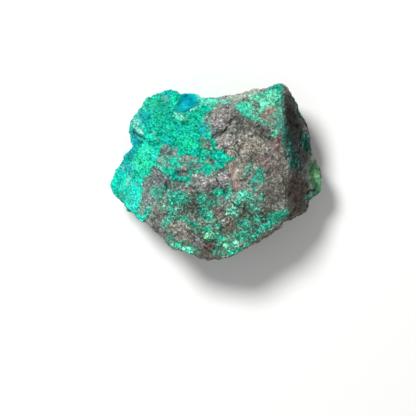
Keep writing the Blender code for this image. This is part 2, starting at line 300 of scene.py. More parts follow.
VEINED = [  # pale veins in the crust
    (-27, -8, 3.2, 8, -15), (-29, -1, 2.6, 5, -20), (-26, 15.5, 2, 3, 20),
]
BARE_WALLS = [(-17.5, -21.5, 8, 3, -45)]  # no crust on the hidden walls
PALE_BACK = (9, 27, 8, 3.5, 12)  # bare pale ore where the top rim folds over
PALE_BACK_HEIGHTS = (18, 24)  # over which it fades in

# ---- colours

CRUST_BASE = (0, 178, 142)
ORE_BASE = (122, 126, 118)

# Tints are a spot, a colour as it looks in daylight, and how strong it is in the middle.
CRUST_TINTS = [
    ((-23.4, 18.6, 2.6, 3.4, -15), (0, 152, 152), 0.9),
    ((-28.6, 7.4, 3.2, 7.4, -25), (0, 146, 152), 1),
    ((-29.5, 1.5, 4, 4.5, -20), (0, 168, 164), 0.85),
    ((-30.6, 1.2, 0.6, 1.3, 10), (130, 214, 206), 0.8),
    ((-18.4, 1.4, 1.8, 1.5, 0), (104, 196, 182), 0.75),
    ((-20.2, 4.6, 1.2, 1.6, 0), (40, 214, 200), 0.7),
    ((-24.2, 4, 3.4, 4.6, -10), (40, 212, 156), 1),
    ((-22.4, 8, 3, 2.6, -35), (40, 208, 165), 0.7),
    ((-9.4, 9.6, 5.6, 3, -28), (10, 200, 142), 1),
    ((-5.6, 7, 2.2, 1.6, 0), (8, 214, 174), 0.7),
    ((-17.4, 20.6, 4.2, 3.2, -20), (4, 144, 110), 0.9),
    ((-12.6, 14.4, 5, 2.4, -36), (0, 162, 130), 0.9),
    ((-22, 10.4, 2.6, 2.2, -35), (20, 222, 190), 0.85),
    ((-3, 4.6, 2.4, 1.6, -30), (10, 142, 112), 0.85),
    ((-6, 15.5, 3.2, 4.5, 20), (0, 168, 128), 0.8),
    ((-22.5, 22.4, 3.5, 2.2, 40), (40, 184, 132), 0.8),
    ((-16.5, 25.8, 3, 1.2, 5), (10, 150, 148), 0.7),
    ((-31.5, -4, 5, 4.5, -40), (0, 212, 178), 0.85),
    ((-27.2, -9, 2.8, 6.5, -15), (6, 230, 202), 0.95),
    ((-31, -7.6, 1.6, 0.9, -45), (70, 140, 118), 0.8),
    ((-28.6, -2.6, 0.8, 2.4, -20), (120, 220, 196), 0.6),
    ((-24.4, -15.2, 1.6, 1, 20), (30, 226, 196), 0.9),
    ((-29.6, -8.6, 2.6, 1.6, -40), (30, 186, 158), 0.6),
    ((-3.8, 14, 1.4, 2.8, 10), (12, 140, 152), 0.8),
    ((-11.4, 18.2, 2.6, 1.1, -14), (132, 224, 188), 0.9),
    ((-7.2, 20.8, 2.6, 0.6, 27), (128, 232, 192), 0.9),
    ((-15.2, 10, 0.9, 0.5, 0), (10, 176, 200), 0.9),
    ((-13.6, 23.6, 1.4, 2.2, 0), (0, 205, 150), 0.9),
    ((-2.6, 23.4, 3.8, 1.6, -12), (106, 204, 172), 0.95),
    ((-4.8, 24.4, 1.6, 2, 15), (98, 212, 176), 0.9),
    ((-26.6, 16.4, 1.6, 2.2, 35), (106, 182, 164), 0.9),
    ((-25, 13.4, 0.5, 2.2, 42), (150, 214, 196), 0.9),
    ((-26.6, 19.4, 1.4, 1.6, 0), (110, 170, 145), 0.8),
    ((-25.6, 12, 0.9, 2.6, 40), (70, 140, 130), 0.6),
    ((14, 21.5, 10, 5, -20), (112, 214, 172), 1),
    ((9, 20.8, 3.2, 2.4, -40), (68, 208, 168), 0.95),
    ((18.4, 24.6, 2.8, 2, 30), (122, 216, 170), 0.9),
    ((20.4, 20, 1.8, 2.8, 0), (98, 152, 126), 0.8),
    ((21.7, 15.2, 1.5, 5, 0), (82, 132, 112), 0.95),
    ((18.8, 17, 2.2, 2, 0), (76, 142, 112), 0.9),
    ((19.6, 28, 2.6, 1, 15), (52, 140, 116), 0.9),
    ((2.8, 23.4, 3.4, 1.2, 5), (134, 184, 168), 0.95),
    # On the right wall: its own dark colour, deepened by painted shade.
    ((27.5, 6, 5.5, 13, 10), (27, 46, 40), 1),
    ((23.2, 8.4, 1.3, 4.6, 8), (50, 84, 70), 1),
    ((32.5, -1.5, 4.4, 8, 15), (66, 92, 58), 1),
    ((33.9, -2.8, 1.3, 3.4, 25), (108, 162, 114), 0.95),
    # Painted shadow under the edge of the corner's plate.
    ((30.8, -7.6, 3, 1.3, 35), (58, 100, 68), 1),
    ((0, -15, 26, 13, 0), (52, 148, 118), 0.95),
    ((-12.6, -8.6, 4.4, 3.4, 0), (46, 142, 116), 0.8),
    ((-19, -7, 2.4, 2.2, 0), (76, 150, 126), 0.7),
    ((10, -7.8, 2.6, 2, 0), (84, 194, 154), 0.85),
    ((5.6, -12.6, 2.4, 2.2, 0), (104, 170, 138), 0.8),
    ((12.4, -11.4, 2.6, 2.4, 0), (98, 160, 130), 0.8),
    ((8.4, -21.2, 3.4, 2, 10), (58, 124, 94), 0.8),
    ((1, -6.8, 2.4, 1.6, 0), (30, 158, 118), 0.95),
    ((14, -1.4, 2.2, 3, 0), (56, 130, 102), 0.95),
    ((-9.4, -25.4, 2.4, 1, -15), (112, 230, 178), 0.95),
    ((-11.8, -24, 1.6, 1, 25), (48, 180, 136), 0.8),
    ((2.8, -23.9, 2.2, 1.2, -15), (106, 192, 140), 0.9),
    ((7.2, -23.4, 1.8, 1, 10), (132, 182, 152), 0.9),
    ((1.6, -26, 1.8, 0.9, 0), (110, 150, 122), 0.8),
    ((19.8, -15, 2.6, 2, 20), (32, 112, 84), 1),
    ((19.2, 12.8, 1.4, 1, 45), (90, 244, 186), 1),
    ((-1.7, -14.6, 0.8, 2, 15), (88, 196, 154), 0.9),
    ((-4.4, -8.4, 1.4, 0.8, 0), (60, 190, 148), 0.8),
    ((-4, -14.4, 0.9, 1.6, 0), (20, 120, 92), 0.8),
    ((-7, -17.6, 2.2, 1.8, -30), (34, 116, 90), 0.9),
    ((10.5, 1.1, 1.4, 2.4, -28), (66, 124, 102), 1),
]
BLUE_POCKET = [
    (-13.5, 21.2), (-13.1, 20), (-10.7, 19.6), (-8.7, 20.5), (-6.5, 21.5), (-4.9, 22.2),
    (-6, 23.1), (-6.3, 24.9), (-7.6, 25.6), (-9.4, 25.6), (-10.7, 25.6), (-12, 23.4),
    (-13.1, 21.8),
]
BLUE = (0, 150, 168)
# The pocket's facets: blues a little apart, lighter and darker as painted light and shade, and a thin
# bright sliver that is a painted highlight.
BLUE_FACET_LIGHT_AND_SHADE = [
    (
        [(-14, 21.4), (-10.9, 26), (-10.6, 24.8), (-11.6, 22.6), (-10.8, 19.4), (-14, 19.4)],
        (0, 150, 150),
    ),
    ([(-9.4, 25.8), (-9.2, 24.9), (-7.6, 22.9), (-5.6, 23.2), (-6, 26)], (0, 172, 182)),
    ([(-8.2, 22.7), (-4.6, 22.7), (-4.6, 22), (-8.4, 20.4), (-8, 21.4)], (0, 128, 142)),
    (
        [(-11.4, 22.6), (-10.5, 22.4), (-9.9, 21.6), (-8.6, 21.4), (-8.4, 21), (-10.2, 20.9),
         (-10.9, 21.5)],
        (0, 192, 200),
    ),
    ([(-9.4, 25.4), (-9.1, 25.2), (-7.6, 23.3), (-6.5, 22.9), (-7.8, 22.8)], (0, 112, 134)),
]

# The hidden sides, where nothing is known: one colour each, darker at the right as in the photo, where
# the darkness is partly the wall's own colour and partly painted shade.
WALL_CRUST = (14, 160, 134)
WALL_CRUST_TINTS_AND_SHADE = [
    ((30, 8, 8, 20, 10), (18, 60, 52), 1),
    ((34, -3, 5, 7, 15), (82, 138, 96), 1),
    ((-33, -2, 6, 9, 0), (10, 196, 170), 0.9),
    ((-26, 12, 6, 10, -20), (6, 172, 166), 0.8),
]
WALL_ORE = (96, 94, 88)
PALE_RIM = (158, 164, 152)
PALE_RIM_STRENGTH = 0.8
WALL_ORE_TINT_AND_SHADE = [
    ((30, 6, 9, 24, 10), (38, 35, 32), 1),
]

ORE_TINTS = [
    ((2, -22, 24, 8, 12), (92, 88, 74), 0.85),
    ((12, -15, 8, 5, 20), (84, 81, 69), 0.7),
    ((-5, -10.5, 7, 4, -10), (66, 74, 67), 0.85),
    ((-14, -13, 6, 4, 0), (98, 106, 98), 0.6),
    ((-1.4, -9.4, 2.4, 1.7, -20), (70, 96, 82), 0.8),
    ((-9, -12, 2.2, 2.2, 0), (54, 90, 76), 0.8),
    ((-7, -4.8, 2.4, 1.7, -10), (118, 150, 144), 0.85),
    ((2.4, -16.4, 2, 1.2, 0), (138, 142, 136), 0.8),
    ((12.4, -10.4, 3.4, 3.4, 0), (84, 108, 94), 0.7),
    ((3, 18, 4.6, 5, 0), (138, 135, 133), 0.8),
    ((-0.4, 15.6, 1.2, 1.2, 0), (148, 146, 150), 0.8),
    ((0.2, 13.2, 1.9, 1.5, 0), (96, 102, 106), 0.8),
    ((2.4, 21.4, 3, 0.9, 0), (104, 88, 80), 0.6),
    ((7, 18, 3, 1.4, -35), (92, 90, 84), 0.85),
    ((14, 13.6, 7.4, 2.2, -18), (116, 116, 108), 0.85),
    ((18, 10.6, 3, 1.2, -30), (84, 80, 74), 0.7),
    ((12.5, 15.3, 5.6, 0.9, -20), (84, 82, 79), 0.75),
    ((3.2, 9.6, 3.4, 2.6, 15), (149, 146, 142), 0.85),
    ((1, 8.6, 1, 0.8, 0), (172, 150, 152), 0.8),
    ((7.8, 10.3, 0.5, 1, -30), (214, 176, 168), 0.9),
    ((5, 6.2, 1.8, 1.2, -40), (160, 148, 140), 0.7),
    ((11.5, 8, 5, 4, 0), (148, 144, 130), 0.85),
    ((15.5, 3.8, 5.2, 2.6, -10), (110, 98, 94), 1),
    ((19.6, 8.4, 2.6, 3, 20), (124, 104, 102), 0.85),
    ((20.8, 11.4, 1.5, 1.3, 20), (118, 82, 80), 0.95),
    ((5.6, 1, 1.3, 4.8, 8), (178, 160, 145), 1),
    ((6.8, -3.8, 1.6, 2, 0), (156, 132, 124), 0.8),
    ((9, 1.5, 2.2, 3.5, 0), (152, 150, 134), 0.7),
    ((-4.5, -2.6, 5, 2, -8), (146, 146, 146), 0.85),
    ((2.8, -2.2, 2.2, 2.4, 0), (138, 137, 140), 0.85),
    ((-7.8, -5.6, 1.8, 1, 10), (146, 138, 132), 0.8),
    ((-4, -7.4, 4, 1.2, -8), (74, 78, 72), 0.8),
    ((-6.4, -11, 3, 2.6, 0), (84, 82, 76), 0.75),
    ((-14, -3.6, 4.5, 1.5, -25), (128, 146, 144), 0.9),
    ((-19, -3.4, 4.6, 4.4, 0), (98, 108, 109), 0.9),
    ((-21.5, -10, 3, 5, 0), (124, 134, 134), 0.85),
    ((-18, -14, 4, 3, 0), (104, 112, 106), 0.8),
    ((-19.5, -19, 2.2, 2.6, 40), (80, 82, 78), 0.8),
    ((-12.8, -18, 3.8, 1.9, 0), (132, 133, 122), 0.9),
    ((-10.6, -21.6, 1.6, 1, 0), (140, 128, 124), 0.7),
    ((-5.8, -22.8, 2.8, 2.2, -30), (106, 110, 110), 0.9),
    ((-1.6, -24.8, 3.6, 2, -10), (74, 62, 54), 0.95),
    ((0.8, -11.6, 2.6, 1.6, 0), (88, 84, 75), 0.8),
    ((0.4, -14.8, 1.8, 1.4, 0), (112, 106, 96), 0.6),
    ((4.8, -17.8, 2.6, 2.4, 0), (104, 94, 84), 0.9),
    ((3.4, -15.2, 1.4, 0.8, 0), (140, 134, 128), 0.6),
    ((12.7, -18.3, 3.2, 1.9, 50), (54, 56, 52), 1),
    ((16, -13.4, 2.4, 2.4, 0), (56, 54, 46), 0.95),
    ((18.6, -6.5, 4.8, 5.4, 0), (90, 89, 81), 0.9),
    ((20, 0.5, 3, 2.4, 0), (96, 90, 84), 0.7),
    # The tints past x 24, on the right wall: its own dark colour, deepened by painted shade.
    ((26.4, -6, 4.6, 7.4, 10), (61, 50, 42), 1),
    ((25.4, 14, 4.4, 15, 12), (26, 22, 20), 1),
    ((26.4, 5, 2.8, 5.5, 12), (28, 44, 39), 0.8),
    ((21.8, 4, 1.8, 3, 0), (98, 88, 80), 0.8),
    ((26.5, -13, 6, 2.4, 35), (62, 54, 44), 0.9),
    ((17.8, 20.2, 2.2, 2, 30), (156, 132, 122), 1),
    ((15.2, 18.2, 1.4, 1.2, 30), (150, 134, 120), 1),
    ((-15.6, 6.8, 3.2, 2.2, 0), (106, 134, 132), 0.9),
    ((-13.4, 6.8, 0.9, 0.6, 0), (176, 176, 172), 0.8),
    ((-17.6, 3.8, 1.9, 1.7, 0), (100, 142, 126), 1),
    ((-11, 0.6, 2.1, 1.5, 0), (114, 126, 124), 0.85),
    ((8.6, 25.2, 6.5, 1, 12), (178, 184, 172), 0.95),
    ((7, 24.2, 2, 0.8, 40), (150, 148, 138), 0.7),
]

# Small chips of other stone: spots, and their colour.
CHIPS = {
    "beige_upper": ((-20.3, 12.9, 0.6, 0.85, -25), (100, 172, 142)),
    "beige_lower": ((-19.3, 10.7, 0.5, 0.8, 25), (76, 144, 122)),
    "grey_top": ((-16.6, 24.1, 1.6, 0.95, -10), (78, 156, 138)),
    "white_speck": ((-17, -10.9, 0.35, 0.35, 0), (214, 232, 222)),
    "pale_round": ((-2.2, -20.9, 1.75, 1.45, 0), (92, 152, 116)),
    # The knob's lighter left side is a painted highlight, and the darker foot at its lower right is
    # painted shade.
    "pale_round_lit_side": ((-3.3, -20.7, 0.7, 0.9, 10), (124, 206, 148)),
    "pale_round_shaded_foot": ((-1.5, -21.9, 1, 0.5, 15), (52, 130, 98)),
    "pale_round_fellow": ((-0.8, -20.2, 0.5, 0.45, 0), (140, 204, 162)),
    "white_grain": ((-24, -3.7, 0.28, 0.28, 0), (240, 248, 244)),
    "pink_grain": ((3.4, -2, 0.4, 0.4, 0), (230, 190, 192)),
    "white_low": ((3.6, -13.5, 0.34, 0.3, 0), (214, 240, 222)),
    "pale_mid": ((5.6, -10.9, 0.4, 0.22, -20), (200, 196, 186)),
}

# ---- patterns of the material

BEND_SCALE = 0.6  # of the noise that bends plates, fibres and veins
BEND = 2.6
SMALL_CRYSTALS = 1.85
LARGE_CRYSTALS = 0.95
PLATES = 0.40

# Thin lines: scale, detail and roughness of their noise, and over which values they fade in.
VEINS = (0.62, 3.0, 0.6, (0.022, 0.004))
THREADS = (0.85, 2.0, 0.5, (0.045, 0.012))
RIFTS = (0.85, 3.0, 0.6, (0.022, 0.004))
WEB = (0.36, 1.5, 0.5, (0.034, 0.012))

# How strongly each pattern lightens and darkens the crust and the ore; in the ore, the crests of the
# splinters are lightened as painted highlight.
CRUST_LIGHT = {
    "plates": 0.22, "large": 0.30, "small": 1.5, "middle": 0.7, "fine": 1.3, "grain": 1.2,
    "fibres": 3.2,
}
ORE_LIGHT = {
    "plates": 0.10, "large": 0.14, "small": 1.1, "middle": 0.3, "fine": 0.9, "grain": 0.7,
    "fibres": 2.0, "crests": 0.15,
}

# Colours laid over the crust or the ore, as light.
HUES = [  # over which values of the hue noise, how strong, and to which colour
    (0.02, 0.20, 0.50, (0.0, 0.37, 0.38, 1)),
    (-0.02, -0.20, 0.45, (0.02, 0.62, 0.30, 1)),
]
WHITENING = (0.06, 0.2, 0.5)
PALE_WEB = (0.34, 0.90, 0.76, 1)
# Painted shade laid into the crust's hollows.
CRUST_HOLLOW_SHADE = (0.0, 0.13, 0.11, 1)
RIFT_CRUST = (0.0, 0.16, 0.14, 1)
# Painted highlight laid onto the crust's crests.
CRUST_CREST_HIGHLIGHT = (0.03, 0.74, 0.56, 1)
BROWN_ORE = (0.20, 0.145, 0.12, 1)
STAINED_ORE = (0.05, 0.30, 0.24, 1)
# Painted shade laid into the ore's hollows.
ORE_HOLLOW_SHADE = (0.03, 0.031, 0.028, 1)

# ---- floor and light, in metres

FLOOR_SIZE = 3.0
FLOOR_COLOUR = (0.86, 0.86, 0.85, 1)
LIGHTS = {  # place, size, power
    "key": ((-0.32, 0.38, 0.78), 0.26, 8.6),
    "fill": ((-0.10, -0.60, 0.62), 0.60, 0.8),
}
SKY = 0.36


# ---- shapes on the plan


def linear(colour):
    """A colour in daylight, 0 to 255, as light."""
    share = np.array(colour) / 255
    return np.where(share > 0.04045, ((share + 0.055) / 1.055) ** 2.4, share / 12.92)


def smooth_step(low, high, values):
    share = np.clip((values - low) / (high - low), 0, 1)
    return share * share * (3 - 2 * share)


def line_distance(places, line):
    nearest = np.full(len(places), np.inf)
    for start, end in zip(np.array(line[:-1], float), np.array(line[1:], float)):
        run = end - start
        share = np.clip((places - start) @ run / (run @ run), 0, 1)
        gap = places - start - share[:, None] * run
        nearest = np.minimum(nearest, np.hypot(*gap.T))
    return nearest


def depth_in_field(places, outline):
    """How far inside an outline each place is, in millimetres, and below zero outside."""
    corners = np.array(outline, float)
    inside = np.zeros(len(places), bool)
    x, y = places.T
    for (x0, y0), (x1, y1) in zip(corners, np.roll(corners, -1, axis=0)):
        crosses = (y0 > y) != (y1 > y)
        slope = (x1 - x0) / (y1 - y0 if y1 != y0 else 1)
        inside ^= crosses & (x < x0 + slope * (y - y0))
    distance = line_distance(places, [*outline, outline[0]])
    return np.where(inside, distance, -distance)


def turned(x, y, degrees):
    """Places along and across a direction."""
    turn = np.radians(degrees)
    return x * np.cos(turn) + y * np.sin(turn), y * np.cos(turn) - x * np.sin(turn)


def spot_radius(places, spot):
    """Distance from the middle of a spot, as a share of its size: 1 on its edge."""
    x, y, length, width, turn = spot
    along, across = turned(*(places - (x, y)).T, turn)
    return np.hypot(along / length, across / width)


def depth_in_spot(places, spot):
    return (1 - spot_radius(places, spot)) * min(spot[2], spot[3])


def in_spot(places, spot, fade):
    """1 inside a spot and 0 outside, fading between two shares of its size."""
    return smooth_step(*fade, spot_radius(places, spot))


def in_any(places, spots):
    """1 inside any of the spots, fading to 0 past their edges."""
    nearest = np.min([spot_radius(places, spot) for spot in spots], axis=0)
    return smooth_step(*ZONE_FADE, nearest)


def seen_places(points):
    """Where the camera sees each point on the plan, which is the level that has the scale."""
    nearer = CAMERA_RISE / (CAMERA_RISE + LEVEL - points[:, 2])
    return CAMERA_PLACE + (points[:, :2] - CAMERA_PLACE) * nearer[:, None]


def crust_depth(places):
    """How far inside the crust each place of the plan is, in millimetres."""
    depth = np.full(len(places), LEAST_DEPTH)
    for outline in CRUST_FIELDS.values():
        depth = np.maximum(depth, depth_in_field(places, outline))
    for spot in CRUST_SPOTS:
        depth = np.maximum(depth, depth_in_spot(places, spot))
    for outline in ORE_FIELDS.values():
        depth = np.minimum(depth, -depth_in_field(places, outline))
    for spot in ORE_SPOTS.values():
        depth = np.minimum(depth, -depth_in_spot(places, spot))
    return depth


def streak_depth(places):
    depths = [width - line_distance(places, line) for line, width in CRUST_STREAKS.values()]
    return np.max(depths, axis=0)


def lay_over(colours, colour, share):
    """Lays a colour over the others, as strongly as its share at each place."""
    colours += (colour - colours) * share[:, None]


def tinted(places, base, tints):
    """Colour at each place: the base, with each tint laid over it in turn."""
    colours = np.tile(linear(base), (len(places), 1))
    for spot, colour, strength in tints:
        lay_over(colours, linear(colour), strength * in_spot(places, spot, TINT_FADE))
    return colours


# ---- noise and relief


def noise_at(points, size, shift=0.0):
    """Smooth noise from about -1 to 1 whose waves are about this size."""
    return np.array([noise.noise(Vector(point)) for point in points / size + shift])


def warp_at(points, size, shift=0.0):
    """The same with three numbers at each point."""
    return np.array([noise.noise_vector(Vector(point)) for point in points / size + shift])


def cells_at(points, size):
    """Distance to the nearest and the second nearest cell centre, and the tilt of the cell's facet."""
    nearest, second, rise = np.empty((3, len(points)))
    for index, point in enumerate(points / size):
        place = Vector(point)
        distances, centres = noise.voronoi(place)
        tilt = noise.cell_vector(centres[0] * CELL_SPREAD) * 2 - Vector((1, 1, 1))
        nearest[index], second[index] = distances[:2]
        rise[index] = (place - centres[0]).dot(tilt)
    return nearest, second, rise


def facets(points, sizes):
    """Height of flat facets that meet at steps, as where a brittle stone breaks."""
    height = np.zeros(len(points))
    for size, slope in sizes.items():
        nearest, second, rise = cells_at(points, size)
        height += size * slope * rise * np.minimum(1, (second - nearest) * STEP_SHARPNESS)
    return height


def splinters(points, angle):
    """Long ridges across the plan along an angle, from about 0 in the gaps to 1 on the ridges."""
    along, across = turned(*points.T[:2], angle)
    drawn = np.column_stack([along / STREAK_STRETCH, across, points[:, 2]])
    return {
        size: 1 - STREAK_SHARPNESS * np.abs(noise_at(drawn, size, angle)) for size in STREAKS
    }


def flow_relief(points, places):
    """Splinters along the way the ore breaks in each spot: their height, and their crests."""
    weights = [np.full(len(points), FLOW_WEIGHT)]
    fields = [splinters(points, FLOW)]
    for spot, angle in FLOWS.values():
        weights.append(FLOWS_WEIGHT * in_spot(places, spot, FLOW_FADE))
        fields.append(splinters(points, angle))
    weights = np.array(weights) / np.sum(weights, axis=0)
    mixed = {
        size: sum(weight * field[size] for weight, field in zip(weights, fields))
        for size in STREAKS
    }
    height = sum(rise * (mixed[size] - STREAK_LEVEL) for size, rise in STREAKS.items())
    return height, sum(mixed.values()) / len(mixed)


def seam_relief(places):
    """Height of the cracks and ridges, and how deep in a crack each place is, for the painted shade in
    the cracks.
    """
    height = np.zeros(len(places))
    crack = np.zeros(len(places))
    for line, half_width, rise in SEAMS.values():
        share = smooth_step(half_width * SEAM_REACH, 0, line_distance(places, line))
        height += rise * share
        if rise < 0:
            crack = np.maximum(crack, share * min(1, -rise / FULL_CRACK))
    return height, crack


# ---- the mesh


def read(items, name):
    """Three numbers for each item."""
    flat = np.empty(len(items) * 3)
    items.foreach_get(name, flat)
    return flat.reshape(-1, 3)


def blurred(mesh, values, times):
    """Values at the vertices, averaged with their neighbours a number of times."""
    ends = np.empty(len(mesh.edges) * 2, int)
    mesh.edges.foreach_get("vertices", ends)
    first, second = ends.reshape(-1, 2).T
    count = len(mesh.vertices)
    neighbours = np.bincount(first, minlength=count) + np.bincount(second, minlength=count)
    for _ in range(times):
        total = np.bincount(first, values[second], count)
        total += np.bincount(second, values[first], count)
        values = (values + total) / (1 + neighbours)
    return values


def modified(stone, name, kind, **settings):
    """Gives the stone the mesh that a modifier makes of it."""
    modifier = stone.modifiers.new(name, kind)
    for setting, value in settings.items():
        setattr(modifier, setting, value)
    graph = bpy.context.evaluated_depsgraph_get()
    mesh = bpy.data.meshes.new_from_object(stone.evaluated_get(graph))
    stone.modifiers.clear()
    stone.data = mesh


def fine_copy(node):
    """The lump's solid again, as an even fine mesh in millimetres."""
    stone = bpy.data.objects.new("chrysocolla_stone", node.data.copy())
    bpy.context.scene.collection.objects.link(stone)
    stone.data.transform(Matrix.Scale(1 / MM, 4))
    stone.data.materials.clear()
    modified(stone, "fine", "REMESH", mode="VOXEL", voxel_size=VOXEL)
    return stone


def flatten_underside(mesh):
    """One flat face where the stone rests, in place of the even mesh there."""
    shape = bmesh.new()
    shape.from_mesh(mesh)
    low = [face for face in shape.faces if all(vert.co.z < LOW for vert in face.verts)]
    bmesh.ops.dissolve_faces(shape, faces=low, use_verts=True)
    shape.to_mesh(mesh)
    shape.free()


def thinned(stone):
    """The same surface in fewer triangles, the flattest ones merged first."""
    stone.data.calc_loop_triangles()
    count = len(stone.data.loop_triangles)
    modified(stone, "thin", "DECIMATE", ratio=min(1, MOST_TRIANGLES / count))


def store(mesh, name, values):
    """Keeps a number or a colour for each vertex, for the material to read."""
    if values.ndim == 1:
        layer = mesh.attributes.new(name, "FLOAT", "POINT")
        layer.data.foreach_set("value", values.astype(np.float32))
    else:
        layer = mesh.attributes.new(name, "FLOAT_COLOR", "POINT")
        rows = np.column_stack([values, np.ones(len(values))])
        layer.data.foreach_set("color", rows.astype(np.float32).ravel())


def wall_crust(points):
    """How far inside the crust a point of the hidden sides is: random patches, most at the left."""
    x, y, z = points.T
    lean = -0.06 * x + 0.05 * y + 0.03 * (z - 14)
    return 3.4 * noise_at(points, 9.0) + 1.6 * noise_at(points, 3.6, 20.0) + lean - 0.3


def lay_out(mesh, points, normals):
    """What each point of the surface is: crust, ore, chip or blue pocket, on the face or a wall."""
    zone = SimpleNamespace(places=seen_places(points))
    zone.facing = smooth_step(*FACING, blurred(mesh, normals[:, 2], FACING_BLUR))
    warp = sum(reach * warp_at(points, size, shift) for size, reach, shift in WARPS)
    zone.plan = zone.places + warp[:, :2]
    steady = STEADY * zone.plan + (1 - STEADY) * zone.places
    zone.pale_back = in_spot(points[:, :2], PALE_BACK, PATCH_FADE)
    zone.pale_back *= smooth_step(*PALE_BACK_HEIGHTS, points[:, 2])
    wall = wall_crust(points) - PALE_BACK_DEPTH * zone.pale_back
    wall -= BARE_DEPTH * in_any(points[:, :2], BARE_WALLS)
    crust = np.maximum(crust_depth(zone.plan), streak_depth(steady))
    crust = crust * zone.facing + wall * (1 - zone.facing)
    zone.fray = np.full(len(points), FRAY)
    for spot, reach in FRAYED.values():
        zone.fray += (reach - zone.fray) * in_spot(zone.places, spot, PATCH_FADE) * zone.facing
    crust += zone.fray * 0.7 * noise_at(points, 1.3, 7.0) - 0.35 * (zone.fray - FRAY)
    zone.share = smooth_step(-CRUST_EDGE, CRUST_EDGE, crust)
    zone.chips = np.zeros(len(points))
    for spot, _ in CHIPS.values():
        zone.chips = np.maximum(zone.chips, in_spot(zone.plan, spot, CHIP_FADE) * zone.facing)
    upward = smooth_step(*UPWARD, blurred(mesh, normals[:, 2], NEAR_BLUR))
    zone.pocket = smooth_step(*POCKET_EDGE, depth_in_field(steady, BLUE_POCKET)) * upward
    zone.crust = crust + (1 - crust) * zone.pocket
    return zone


def relief(mesh, points, zone):
    """Height of the surface above the lump's, with the crests and cracks on which the colours lay
    painted highlights and painted shade.
    """
    streak_height, streak = flow_relief(points, zone.places)
    smoothing = 1 - SMOOTHING * in_any(zone.plan, SMOOTH) * zone.facing
    ore_height = (facets(points, ORE_FACETS) + streak_height) * smoothing
    crust_height = facets(points + CRUST_SHIFT, CRUST_FACETS) + STREAKS_IN_CRUST * streak_height
    height = ore_height * (1 - zone.share) + crust_height * zone.share
    height += (facets(points + POCKET_SHIFT, POCKET_FACETS) - height) * zone.pocket
    height *= 1 - EVENING * zone.chips
    height += CRUST_THICKNESS * (zone.share - 0.5) + CHIP_RISE * zone.chips
    height += FINE_ROUGHNESS * noise_at(points, FINE_SIZE, 3.0) * (1 - EVENING * zone.pocket)
    seam_height, crack = seam_relief(zone.plan)
    height += seam_height * zone.facing
    height -= blurred(mesh, height, FAR_BLUR) * LEVELLED
    return height, streak, crack


def inward_folds(mesh, points, normals):
    """How far the lump's own surface lies below its surroundings, for the painted shade in its folds.
    """
    return sum(
        (blurred(mesh, points[:, axis].copy(), CREASE_BLUR) - points[:, axis]) * normals[:, axis]
        for axis in range(3)
    )


def paint(points, zone):
    """Colour of the crust and of the ore at each point, as light."""
    crust = tinted(zone.plan, CRUST_BASE, CRUST_TINTS)
    blue = tinted(zone.plan, BLUE, [])
    # Painted light and shade on the pocket's facets.
    for outline, colour in BLUE_FACET_LIGHT_AND_SHADE:
        depth = depth_in_field(zone.places, outline)
        lay_over(blue, linear(colour), smooth_step(-FACET_EDGE, FACET_EDGE, depth))
    lay_over(crust, blue, zone.pocket)
    ore = tinted(zone.plan, ORE_BASE, ORE_TINTS)
    for spot, colour in CHIPS.values():
        for colours in (crust, ore):
            lay_over(colours, linear(colour), in_spot(zone.plan, spot, CHIP_FADE))
    on_walls = (1 - zone.facing) * (1 - zone.pocket)
    lay_over(crust, tinted(points[:, :2], WALL_CRUST, WALL_CRUST_TINTS_AND_SHADE), on_walls)
    lay_over(ore, tinted(points[:, :2], WALL_ORE, WALL_ORE_TINT_AND_SHADE), on_walls)
    lay_over(ore, linear(PALE_RIM), PALE_RIM_STRENGTH * zone.pale_back * (1 - zone.facing))
    return crust, ore


def make_stone(node):
    stone = fine_copy(node)
    mesh = stone.data
    flatten_underside(mesh)
    points = read(mesh.vertices, "co")
    normals = read(mesh.vertex_normals, "vector")
    zone = lay_out(mesh, points, normals)
    height, streak, crack = relief(mesh, points, zone)
    base = points[:, 2] < BASE
    height[base] = 0
    moved = points + normals * height[:, None]
    moved[:, 2] = np.maximum(moved[:, 2], 0)
    moved[base] = points[base]
    crust_colour, ore_colour = paint(points, zone)
    calm = CALMING * in_any(zone.plan, CALM)
    calm = np.maximum(calm, SOFTENING * in_any(zone.plan, SOFT)) * zone.facing
    layers = {
        "crust": zone.crust,
        "fray": zone.fray,
        # How far each point lies below its neighbours: the material lays painted shade in the hollows
        # and painted highlights on the crests.
        "hollow": blurred(mesh, height, NEAR_BLUR) - height,
        # How deep the lump's own folds lie: the material darkens them as painted shade.
        "crease": inward_folds(mesh, points, normals),
        "chips": np.maximum(zone.chips, calm),
        "sparkle": in_any(zone.plan, SPARKLING) * zone.facing,
        "glassy": zone.pocket,
        "streak": streak,
        "mottle": in_any(zone.plan, MOTTLED) * zone.facing,
        "even": np.maximum(in_any(zone.plan, EVEN), 1 - zone.facing),
        "veined": in_any(zone.plan, VEINED) * zone.facing,
        # How deep in a crack: the material darkens it as painted shade.
        "crack": crack * zone.facing,
        "crust_colour": crust_colour,
        "ore_colour": ore_colour,
    }
    mesh.vertices.foreach_set("co", moved.ravel())
    mesh.update()
    for name, values in layers.items():
        store(mesh, name, values)
    thinned(stone)
    mesh = stone.data
    mesh.transform(Matrix.Scale(MM, 4))
    mesh.shade_flat()
    mesh.materials.append(stone_material(layers))
    return stone


# ---- the material


